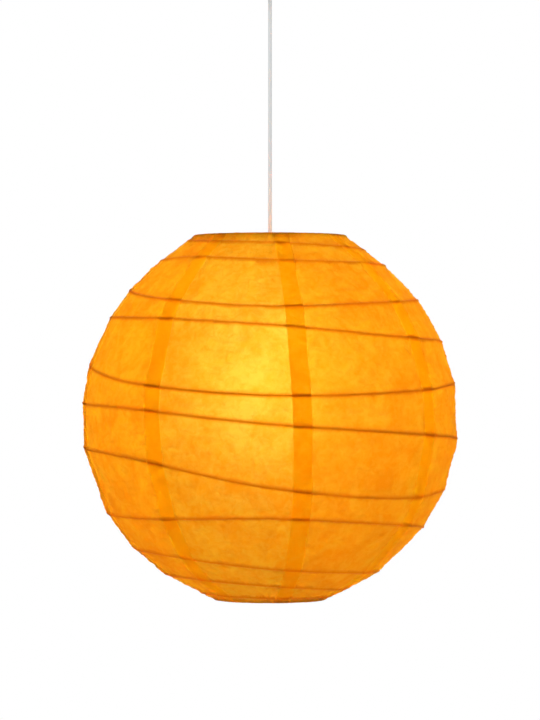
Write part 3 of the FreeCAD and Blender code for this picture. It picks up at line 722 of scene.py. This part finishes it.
class Gore:
    """One gore of paper, lapped under the gore before it and over the gore after it."""

    LAP = 20.0 * MM
    LAP_TAPER = 0.3
    LIFT = 0.42 * MM
    RAMP = 5.0 * MM
    EDGE = 0.4 * MM
    PAPER = 0.2 * MM
    RIDGE = 0.8 * MM
    RIDGE_REACH = 1.3 * MM
    # Reach of the rib wire's painted shadow, partly adhesive, on each side of the rib.
    GLUE_AND_RIB_SHADOW_REACH = 2.1 * MM
    ROW_STEP = 1.55 * MM
    LAP_COLUMNS = 9
    EDGE_SHARE = 0.01         # place of the column that keeps a lap's cut edge crisp
    OPEN_COLUMNS = 84
    RAMP_COLUMNS = 4
    FIRST_SEAM = -80.5        # degrees, at the widest level
    SEAM_LEAN = -9.0          # degrees for each metre of height
    SEAM_SPREAD = 1.9         # degrees that seams stray from even places
    SEAM_DRIFT = 6.0          # degrees that they stray further at the bottom hoop
    PALE_STEP = 0.618         # how unevenly the gores took the dye, from one to the next
    PALE_FIRST = 0.62
    RIB_ROWS = (0.9 * MM, 2.0 * MM)
    RIB_ROW_MOST = 0.3        # of a band's width
    END_REACH = 3.0 * MM      # of the smooth paper beside the hoops
    LAP_CALM = 0.55           # share of the crinkles that a lap's two layers hold flat
    OUTLINE_STEPS = 200

    def __init__(self, form: ShadeForm, creases: Creases, number: int, count: int) -> None:
        """Sets out a gore.

        Args:
            form: the shade's form.
            creases: its crinkles.
            number: 0 for the gore right of the front seam, then anticlockwise seen from above.
            count: gores in the shade.
        """
        self.form, self.creases, self.number, self.count = form, creases, number, count
        self.columns = self.lay_out_columns()
        self.turns = self.turns_crossed()

    def lay_out_columns(self) -> list[Column]:
        """Columns across the gore, close together at the laps' edges."""
        lap = [j / self.LAP_COLUMNS for j in range(self.LAP_COLUMNS + 1)]
        lap = [lap[0], self.EDGE_SHARE, *lap[1:-1], 1 - self.EDGE_SHARE, lap[-1]]
        columns = [Column(0.0, share, 0.0, 0.0, 1.0) for share in lap]
        for j in range(self.OPEN_COLUMNS + 1):
            share = j / self.OPEN_COLUMNS
            extra = (1 - share) * self.EDGE - share * self.RAMP
            columns.append(Column(share, 1 - 2 * share, extra, 0.0, 0.0))
        for j in range(1, self.RAMP_COLUMNS + 1):
            share = j / self.RAMP_COLUMNS
            columns.append(Column(1.0, -1.0, -self.RAMP + share * (self.RAMP - self.EDGE), share, 0.0))
        return columns + [Column(1.0, share - 1.0, 0.0, 1.0, 1.0) for share in lap]

    def seam(self, number: int, height: float) -> float:
        """Angle of the middle of a seam at a height, in radians."""
        sway = math.sin(2.4 * (number % self.count))
        fall = max(0.0, -height / self.form.bottom.height)
        stray = sway * (self.SEAM_SPREAD + self.SEAM_DRIFT * fall ** 3)
        return math.radians(self.FIRST_SEAM + 360.0 / self.count * number + stray + self.SEAM_LEAN * height)

    def lap_width(self, radius: float) -> float:
        """Width of a lap, a little less towards the mouths."""
        return self.LAP * (radius / self.form.widest) ** self.LAP_TAPER

    def angle(self, column: Column, height: float) -> float:
        """Angle of a column at a height."""
        radius = self.form.radius(height)
        lap = self.lap_width(radius)
        first, last = self.seam(self.number, height), self.seam(self.number + 1, height)
        first, last = first - lap / 2 / radius, last + lap / 2 / radius
        return first + column.share * (last - first) + (column.laps * lap + column.extra) / radius

    def turns_crossed(self) -> list[int]:
        """Whole turns to add to a column's own turn, one for each line of the rib across the gore."""
        form = self.form
        starts = [self.turn(column, 0.0, 0) for column in (self.columns[0], self.columns[-1])]
        wanted = range(-1, int(form.RIB_LAST) + 3)
        return [k for k in wanted if max(starts) + k > form.RIB_FIRST and min(starts) + k < form.RIB_LAST]

    def turn(self, column: Column, height: float, whole: int) -> float:
        """Turns of the rib from its start on the left to a column."""
        return (self.angle(column, height) - math.pi) / (2 * math.pi) + whole

    def crossing(self, column: Column, whole: int) -> float:
        """Height at which a column crosses a turn of the rib."""
        height = self.form.rib_height(self.turn(column, 0.0, whole))
        for _ in range(3):
            height = self.form.rib_height(self.turn(column, height, whole))
        return height

    def levels(self, column: Column) -> list[tuple[float, float, float]]:
        """Radius, height and rib strength at the two folds and at each rib line between them."""
        form = self.form
        lines = [(*form.top.fold(form.wrap), 0.0)]
        for whole in self.turns:
            height = self.crossing(column, whole)
            strength = 1.0 if form.has_rib(self.turn(column, height, whole)) else 0.0
            lines.append((form.radius(height), height, strength))
        radius, depth = form.bottom.fold(form.wrap)
        return lines + [(radius, -depth, 0.0)]

    def rows(self) -> list[list[float]]:
        """Rows of each band, as shares of its width, crowded beside the ribs."""
        samples = [self.levels(self.columns[i]) for i in (0, len(self.columns) // 2, -1)]
        bands = []
        for k in range(len(samples[0]) - 1):
            widths = [math.hypot(s[k][0] - s[k + 1][0], s[k][1] - s[k + 1][1]) for s in samples]
            width = sum(widths) / len(samples)
            edges = [reach / width for reach in self.RIB_ROWS if reach / width < self.RIB_ROW_MOST]
            low = edges[-1] if edges else 0.0
            inner = max(2, round((1 - 2 * low) * width / self.ROW_STEP))
            middle = [low + (1 - 2 * low) * j / inner for j in range(inner + 1)]
            shares = [0.0, *edges[:-1], *(middle if edges else middle[1:-1])]
            shares += [1 - share for share in reversed(edges[:-1])]
            bands.append(shares)
        bands[-1].append(1.0)
        return bands

    def point(self, column: Column, upper: tuple[float, float, float], lower: tuple[float, float, float],
              share: float, band: int) -> tuple[Vector, float]:
        """One point of the crinkled paper's outside.

        Args:
            column: the column that it is on.
            upper: radius, height and strength of the rib line above.
            lower: the same of the line below.
            share: how far it is from the line above to the line below.
            band: number of the band, from the top.

        Returns:
            The point, and how strongly the paper beside the ribs is darkened, partly by adhesive and partly
            as painted shadow of the rib wire.
        """
        form = self.form
        across, down = lower[0] - upper[0], lower[1] - upper[1]
        width = math.hypot(across, down)
        out = (-down / width, across / width)
        along = share * width
        radius, height = upper[0] + share * across, upper[1] + share * down
        angle = self.angle(column, height)
        whole = self.turns[band - 1] if band else self.turns[0] - 1
        spot = form.spot(angle, radius, height)
        arc = angle * form.widest
        hollow = 1 - upper[2] * near(along, self.RIDGE_REACH)
        hollow *= 1 - lower[2] * near(width - along, self.RIDGE_REACH)
        ends = near(along, self.END_REACH) * (band == 0)
        ends += near(width - along, self.END_REACH) * (band == len(self.turns))
        push = -self.RIDGE * hollow * (1 - ends)
        calm = (1 - self.LAP_CALM * column.lap) * (1 - ends)
        push += calm * self.creases.depth(spot, arc, along, width, whole, radius / form.widest)
        push += self.LIFT * column.lift
        # Painted shadow of the rib wire, partly adhesive, fading away from each rib line.
        glue_and_rib_shadow = max(upper[2] * near(along, self.GLUE_AND_RIB_SHADOW_REACH), lower[2] * near(width - along, self.GLUE_AND_RIB_SHADOW_REACH))
        return form.spot(angle, radius + push * out[0], height + push * out[1]), glue_and_rib_shadow

    def outline(self) -> list[tuple[float, float]]:
        """Middle radius and length of each short step of the shade's outline, from fold to fold."""
        form = self.form
        foot = -form.bottom.fold(form.wrap)[1]
        rise = (form.top.fold(form.wrap)[1] - foot) / self.OUTLINE_STEPS
        radii = [form.radius(foot + j * rise) for j in range(self.OUTLINE_STEPS + 1)]
        return [((a + b) / 2, math.hypot(rise, b - a)) for a, b in zip(radii, radii[1:])]

    def flat_width(self, radius: float) -> float:
        """Width that the gore was cut to where the shade has a radius."""
        return 2 * math.pi * radius / self.count + self.lap_width(radius)

    def flat_area(self) -> float:
        """Area that the gore was cut to, in square metres."""
        return sum(self.flat_width(radius) * length for radius, length in self.outline())

    def flat_length(self) -> float:
        """Length of the gore along its middle, from fold to fold."""
        return sum(length for _, length in self.outline())

    def build(self, finish: bpy.types.Material) -> bpy.types.Object:
        """Builds the gore.

        Args:
            finish: the paper.

        Returns:
            The gore's object.
        """
        name = f"gore_{self.number + 1}"
        bands = self.rows()
        starts = [sum(len(shares) for shares in bands[:k]) for k in range(len(bands))]
        total = sum(len(shares) for shares in bands)
        lines = [self.levels(column) for column in self.columns]
        sheet = grid_mesh(name, len(self.columns), total)
        lap_layer = sheet.verts.layers.float.new("lap")
        # This layer carries the rib wire's painted shadow, partly adhesive, to the paper's material.
        glue_and_rib_shadow_layer = sheet.verts.layers.float.new("glue_and_rib_shadow")
        pale_layer = sheet.verts.layers.float.new("pale")
        pale = (self.PALE_FIRST + self.PALE_STEP * self.number) % 1.0
        for vert in sheet.verts:
            i, row = round(vert.co.x), total - 1 - round(vert.co.y)
            band = bisect.bisect_right(starts, row) - 1
            share = bands[band][row - starts[band]]
            column = self.columns[i]
            vert.co, glue_and_rib_shadow = self.point(column, lines[i][band], lines[i][band + 1], share, band)
            vert[lap_layer], vert[glue_and_rib_shadow_layer], vert[pale_layer] = column.lap, glue_and_rib_shadow, pale
        piece = as_object(name, sheet, finish)
        thicken(piece, self.PAPER)
        return piece


class Hem:
    """Paper folded over a hoop and stuck down inside the shade."""

    LAP = 1.4 * MM
    PROUD = 0.12 * MM
    TURNED_IN = 8.0 * MM
    PINCH = 1.0 * MM
    PAPER = 0.2 * MM
    AROUND = 720
    ALONG = 30
    WRINKLE = 0.22 * MM
    WRINKLE_WIDTH = 4.0 * MM
    WRINKLE_SHARE = 0.3       # the more, the less of the strip lies flat
    TEAR = 0.80               # share of the strip that is gone where the hoop is bare
    TEAR_START, TEAR_END = 4.0, 3.0     # degrees over which the tear deepens at its two ends
    TORN, TORN_WIDTH = 0.06, 3.0        # unevenness of its edge, as a share, and its width in degrees

    def __init__(self, form: ShadeForm, end: End, up: bool, bare: tuple[float, float] | None) -> None:
        """Sets out a hem.

        Args:
            form: the shade's form.
            end: the end of the shade that it closes.
            up: True at the top.
            bare: angles in degrees between which the hoop shows, or None.
        """
        self.form, self.end, self.sign, self.bare = form, end, 1 if up else -1, bare
        self.turn_start = end.fold_angle(form.wrap)
        self.wrap = form.wrap + self.PROUD
        self.wrapped = math.pi * self.wrap
        self.length = self.LAP + self.wrapped + self.TURNED_IN

    def section(self, travel: float, extra: float) -> tuple[float, float]:
        """Place on the folded strip, seen in section.

        Args:
            travel: distance from the strip's edge outside the shade, over the hoop, to its edge inside.
            extra: how far the paper stands off here.

        Returns:
            The radius, and the height from the widest level.
        """
        end = self.end
        if travel < self.LAP:
            angle, back = self.turn_start, self.LAP - travel
        else:
            angle = self.turn_start + min((travel - self.LAP) / self.wrap, math.pi)
            back = max(0.0, travel - self.LAP - self.wrapped)
        pinch = self.PINCH * back / self.TURNED_IN if travel > self.LAP else 0.0
        reach = self.wrap + extra - pinch
        slope = (math.sin(self.turn_start), -math.cos(self.turn_start))
        radius = end.mouth + reach * math.cos(angle) + back * slope[0]
        return radius, self.sign * (end.height + reach * math.sin(angle) + back * slope[1])

    def cover(self, angle: float) -> float:
        """Share of the strip that is there at an angle: less where the hoop is bare, with a torn edge."""
        if self.bare is None:
            return 1.0
        degrees = math.degrees(angle)
        first, last = self.bare
        gap = soft_step((degrees - first) / self.TEAR_START) * soft_step((last - degrees) / self.TEAR_END)
        torn = self.TORN * noise.noise(Vector((degrees / self.TORN_WIDTH, 4.2, 0.7)))
        return 1.0 - gap * (self.TEAR + torn)

    def build(self, name: str, finish: bpy.types.Material) -> bpy.types.Object:
        """Builds the hem as one closed ring of folded paper."""
        sheet = grid_mesh(name, self.AROUND + 1, self.ALONG + 1)
        lap_layer = sheet.verts.layers.float.new("lap")
        for vert in sheet.verts:
            column, row = round(vert.co.x) % self.AROUND, round(vert.co.y)
            angle = -math.pi + 2 * math.pi * column / self.AROUND
            travel = self.length * self.cover(angle) * row / self.ALONG
            spot = Vector((math.cos(angle), math.sin(angle), 0.0)) * (self.end.mouth / self.WRINKLE_WIDTH)
            spot.z = travel / self.WRINKLE_WIDTH
            extra = self.WRINKLE * max(0.0, noise.noise(spot) + self.WRINKLE_SHARE)
            radius, height = self.section(travel, extra)
            vert.co = self.form.spot(angle, radius, height)
            vert[lap_layer] = 1.0 if travel > self.LAP + self.wrapped else 0.0
        bmesh.ops.remove_doubles(sheet, verts=sheet.verts, dist=1e-6)
        bmesh.ops.recalc_face_normals(sheet, faces=sheet.faces)
        piece = as_object(name, sheet, finish)
        thicken(piece, self.PAPER)
        return piece


class RibWire:
    """Spiral wire stuck to the inside of the paper."""

    RADIUS = 0.75 * MM
    INSET = 1.1 * MM
    STEPS = 112     # to a turn

    def __init__(self, form: ShadeForm) -> None:
        """Keeps the shade's form."""
        self.form = form

    def build(self, name: str, finish: bpy.types.Material) -> bpy.types.Object:
        """Builds the wire as one closed tube along its course."""
        form = self.form
        count = round((form.RIB_LAST - form.RIB_FIRST) * self.STEPS)
        curve = bpy.data.curves.new(name, "CURVE")
        curve.dimensions = "3D"
        line = curve.splines.new("POLY")
        line.points.add(count)
        for j, point in enumerate(line.points):
            turn = form.RIB_FIRST + (form.RIB_LAST - form.RIB_FIRST) * j / count
            height = form.rib_height(turn)
            spot = form.spot(math.pi * (1 + 2 * turn), form.radius(height) - self.INSET, height)
            point.co = (*spot, 1.0)
        curve.bevel_depth = self.RADIUS
        curve.bevel_resolution = 2
        curve.use_fill_caps = True
        drawn = bpy.data.objects.new(name + "_line", curve)
        mesh = bpy.data.meshes.new_from_object(drawn)
        bpy.data.objects.remove(drawn)
        mesh.name = name
        mesh.materials.clear()
        mesh.materials.append(finish)
        mesh.shade_smooth()
        piece = bpy.data.objects.new(name, mesh)
        bpy.context.scene.collection.objects.link(piece)
        return piece


class PaperShade(Assembly):
    """The shade: eight gores, two hems, the rib and the two hoops."""

    GORES = 8
    FOLDED = 0.06             # share of its height that the folded shade keeps
    BARE_HOOP = (-68.0, -1.0)  # degrees round the top hoop, from its right side towards the front

    def __init__(self, store: dict[Slot, bpy.types.Material]) -> None:
        """Sets out the shade's form."""
        super().__init__(store)
        self.form = ShadeForm()
        self.creases = Creases()

    def fold_away(self, piece: bpy.types.Object) -> None:
        """Hangs a piece of the shade on the shade's body and gives it a mesh of its own."""
        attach(piece, "shade")
        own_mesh(piece)

    def build(self) -> list[bpy.types.Object]:
        """Builds the paper and the rib, and dresses the hoops.

        Returns:
            The new pieces.
        """
        paper = self.store[Slot.PAPER]
        pieces = []
        for number in range(self.GORES):
            gore = Gore(self.form, self.creases, number, self.GORES)
            piece = gore.build(paper)
            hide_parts(f"paper_panel_{number + 1}")
            self.fold_away(piece)
            gore.flat_length()
            gore.flat_area()
            LOG.info("%s: %d faces", piece.name, len(piece.data.polygons))
            pieces.append(piece)
        rib = RibWire(self.form).build("spiral_rib", self.store[Slot.RIB])
        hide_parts("rib_wire")
        self.fold_away(rib)
        top = Hem(self.form, self.form.top, True, self.BARE_HOOP)
        bottom = Hem(self.form, self.form.bottom, False, None)
        for name, hem, node, body in (("top_fold", top, "top_hem", "shade"),
                                      ("bottom_fold", bottom, "bottom_hem", "bottom_rim")):
            piece = hem.build(name, paper)
            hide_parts(node)
            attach(piece, body)
            pieces.append(piece)
        self.dress(Slot.HOOP, "top_hoop", "bottom_hoop")
        return [*pieces, rib]


class Fitting(Assembly):
    """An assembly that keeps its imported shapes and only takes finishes."""

    NODES: dict[Slot, tuple[str, ...]] = {}

    def build(self) -> None:
        """Dresses its pieces."""
        for slot, names in self.NODES.items():
            self.dress(slot, *names)


class SpringFrame(Fitting):
    """The wire frame that hangs the shade and holds it open."""

    NODES = {Slot.FRAME: ("hanger_wire", "leg_left", "leg_right")}


class Lampholder(Fitting):
    """The screw lampholder that the shade hangs on."""

    NODES = {
        Slot.PLASTIC: ("holder_cap", "holder_skirt", "shade_ring"),
        Slot.TERMINAL: ("holder_cord_grip",),
        Slot.PORCELAIN: ("holder_insulator",),
        Slot.BRASS: ("screw_shell", "centre_contact", "holder_terminal_screws"),
        Slot.CORE: ("holder_cores",),
    }


class Lamp(Fitting):
    """The frosted lamp, lit."""

    NODES = {
        Slot.LAMP_GLASS: ("lamp_glass",),
        Slot.LAMP_CAP: ("lamp_cap",),
        Slot.BLACK_GLASS: ("lamp_insulator",),
        Slot.SOLDER: ("lamp_contact",),
        Slot.STEM_GLASS: ("lamp_stem",),
        Slot.LEAD: ("lamp_leads",),
        Slot.FILAMENT: ("lamp_filament",),
    }


class CeilingRose(Fitting):
    """The cup on the ceiling that the cord hangs from."""

    NODES = {
        Slot.ENAMEL: ("rose_cup",),
        Slot.ZINC: ("mounting_bracket", "cover_screws"),
        Slot.PLASTIC: ("cord_bush", "bush_nut"),
        Slot.TERMINAL: ("terminal_block",),
        Slot.BRASS: ("terminal_screws",),
        Slot.CORD: ("cord_tail",),
        Slot.CORE: ("rose_cores",),
    }


class HangingCord(Assembly):
    """The taut flex between the ceiling rose and the lampholder."""

    RADIUS = 2.0 * MM
    POINTS = 6

    def build(self) -> bpy.types.Object:
        """Builds the cord as one straight pulled line."""
        low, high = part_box("cord")
        foot, top = low.z, high.z - self.RADIUS
        curve = bpy.data.curves.new("flex", "CURVE")
        curve.dimensions = "3D"
        line = curve.splines.new("NURBS")
        line.points.add(self.POINTS - 1)
        for j, point in enumerate(line.points):
            point.co = (0.0, 0.0, foot + (top - foot) * j / (self.POINTS - 1), 1.0)
        line.order_u = 3
        line.use_endpoint_u = True
        curve.bevel_depth = self.RADIUS
        curve.bevel_resolution = 6
        curve.use_fill_caps = True
        curve.materials.append(self.store[Slot.CORD])
        cord = bpy.data.objects.new("flex", curve)
        bpy.context.scene.collection.objects.link(cord)
        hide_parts("cord")
        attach(cord, "pendant")
        LOG.info("flex: %.0f mm long", (top - foot) / MM)
        return cord


# ---- Studio ----
@dataclass(frozen=True)
class SoftBox:
    """A square studio light aimed at the lantern."""

    name: str
    place: Place
    size: float
    power: float


class Studio:
    """Pale floor, soft light and the camera."""

    CAMERA = (0.0, -3.5, -0.4253)
    LENS = 164.9
    SENSOR = 36.0
    FLOOR_Z = -2.4
    FLOOR_RADIUS = 3.4
    FLOOR_SIDES = 128
    FLOOR_PALE, FLOOR_GREY = (0.86, 0.86, 0.85), (0.83, 0.83, 0.82)
    FLOOR_CLOUDS = 0.4
    FARTHEST_SEEN = 50.0
    BACKDROP = 1.0
    AMBIENT = 0.55
    TARGET = (0.0, 0.0, -0.47)
    LIGHTS = (
        SoftBox("key", (-2.2, -2.6, 1.0), 2.2, 26.0),
        SoftBox("fill", (2.8, -2.0, -0.2), 2.2, 10.0),
        SoftBox("back", (0.5, 3.0, 1.2), 2.2, 14.0),
    )

    def build_world(self) -> None:
        """White surroundings, brighter to the eye than as a light."""
        world = bpy.data.worlds.new("surroundings")
        bpy.context.scene.world = world
        world.use_nodes = True
        tree = world.node_tree
        tree.nodes.clear()
        seen, lit = tree.nodes.new("ShaderNodeBackground"), tree.nodes.new("ShaderNodeBackground")
        seen.inputs["Strength"].default_value = self.BACKDROP
        lit.inputs["Strength"].default_value = self.AMBIENT
        for background in (seen, lit):
            background.inputs["Color"].default_value = (1.0, 1.0, 1.0, 1.0)
        rays, mix = tree.nodes.new("ShaderNodeLightPath"), tree.nodes.new("ShaderNodeMixShader")
        output = tree.nodes.new("ShaderNodeOutputWorld")
        tree.links.new(rays.outputs["Is Camera Ray"], mix.inputs[0])
        tree.links.new(lit.outputs[0], mix.inputs[1])
        tree.links.new(seen.outputs[0], mix.inputs[2])
        tree.links.new(mix.outputs[0], output.inputs["Surface"])

    def build_floor(self) -> None:
        """Pale floor far below the lantern."""
        disc = bmesh.new()
        bmesh.ops.create_circle(disc, cap_ends=True, segments=self.FLOOR_SIDES, radius=self.FLOOR_RADIUS)
        bmesh.ops.translate(disc, verts=disc.verts, vec=(0.0, 0.0, self.FLOOR_Z))
        r = Recipe("pale_floor")
        colour = r.blend(r.grain(self.FLOOR_CLOUDS), self.FLOOR_PALE, self.FLOOR_GREY)
        matt = r.add("BsdfPrincipled", {"Base Color": colour, "Roughness": 0.8})
        floor = as_object("floor", disc, r.finished(matt.outputs[0]))

    def build_lights(self) -> None:
        """Soft boxes round the lantern."""
        for box in self.LIGHTS:
            light = bpy.data.lights.new(box.name, "AREA")
            light.shape = "SQUARE"
            light.size = box.size
            light.energy = box.power
            lamp = bpy.data.objects.new(box.name, light)
            lamp.location = box.place
            aim = Vector(self.TARGET) - Vector(box.place)
            lamp.rotation_euler = aim.to_track_quat("-Z", "Y").to_euler()
            bpy.context.scene.collection.objects.link(lamp)

    def build_camera(self) -> None:
        """Level camera in front of the lantern."""
        lens = bpy.data.cameras.new("camera")
        lens.lens, lens.sensor_width = self.LENS, self.SENSOR
        lens.clip_end = self.FARTHEST_SEEN
        camera = bpy.data.objects.new("camera", lens)
        camera.location = self.CAMERA
        camera.rotation_euler = (math.radians(90.0), 0.0, 0.0)
        bpy.context.scene.collection.objects.link(camera)
        bpy.context.scene.camera = camera

    def build(self) -> None:
        """Builds the whole studio."""
        self.build_world()
        self.build_floor()
        self.build_lights()
        self.build_camera()
        bpy.context.scene.view_settings.view_transform = "Standard"


def main() -> None:
    """Builds the lantern around its frame."""
    logging.basicConfig(level=logging.INFO, format="%(name)s: %(message)s")
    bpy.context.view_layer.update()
    Studio().build()
    store = {slot: finish.make() for slot, finish in FINISHES.items()}
    HangingCord(store).build()
    PaperShade(store).build()
    for family in (SpringFrame, Lampholder, Lamp, CeilingRose):
        family(store).build()


if __name__ == "__main__":
    main()
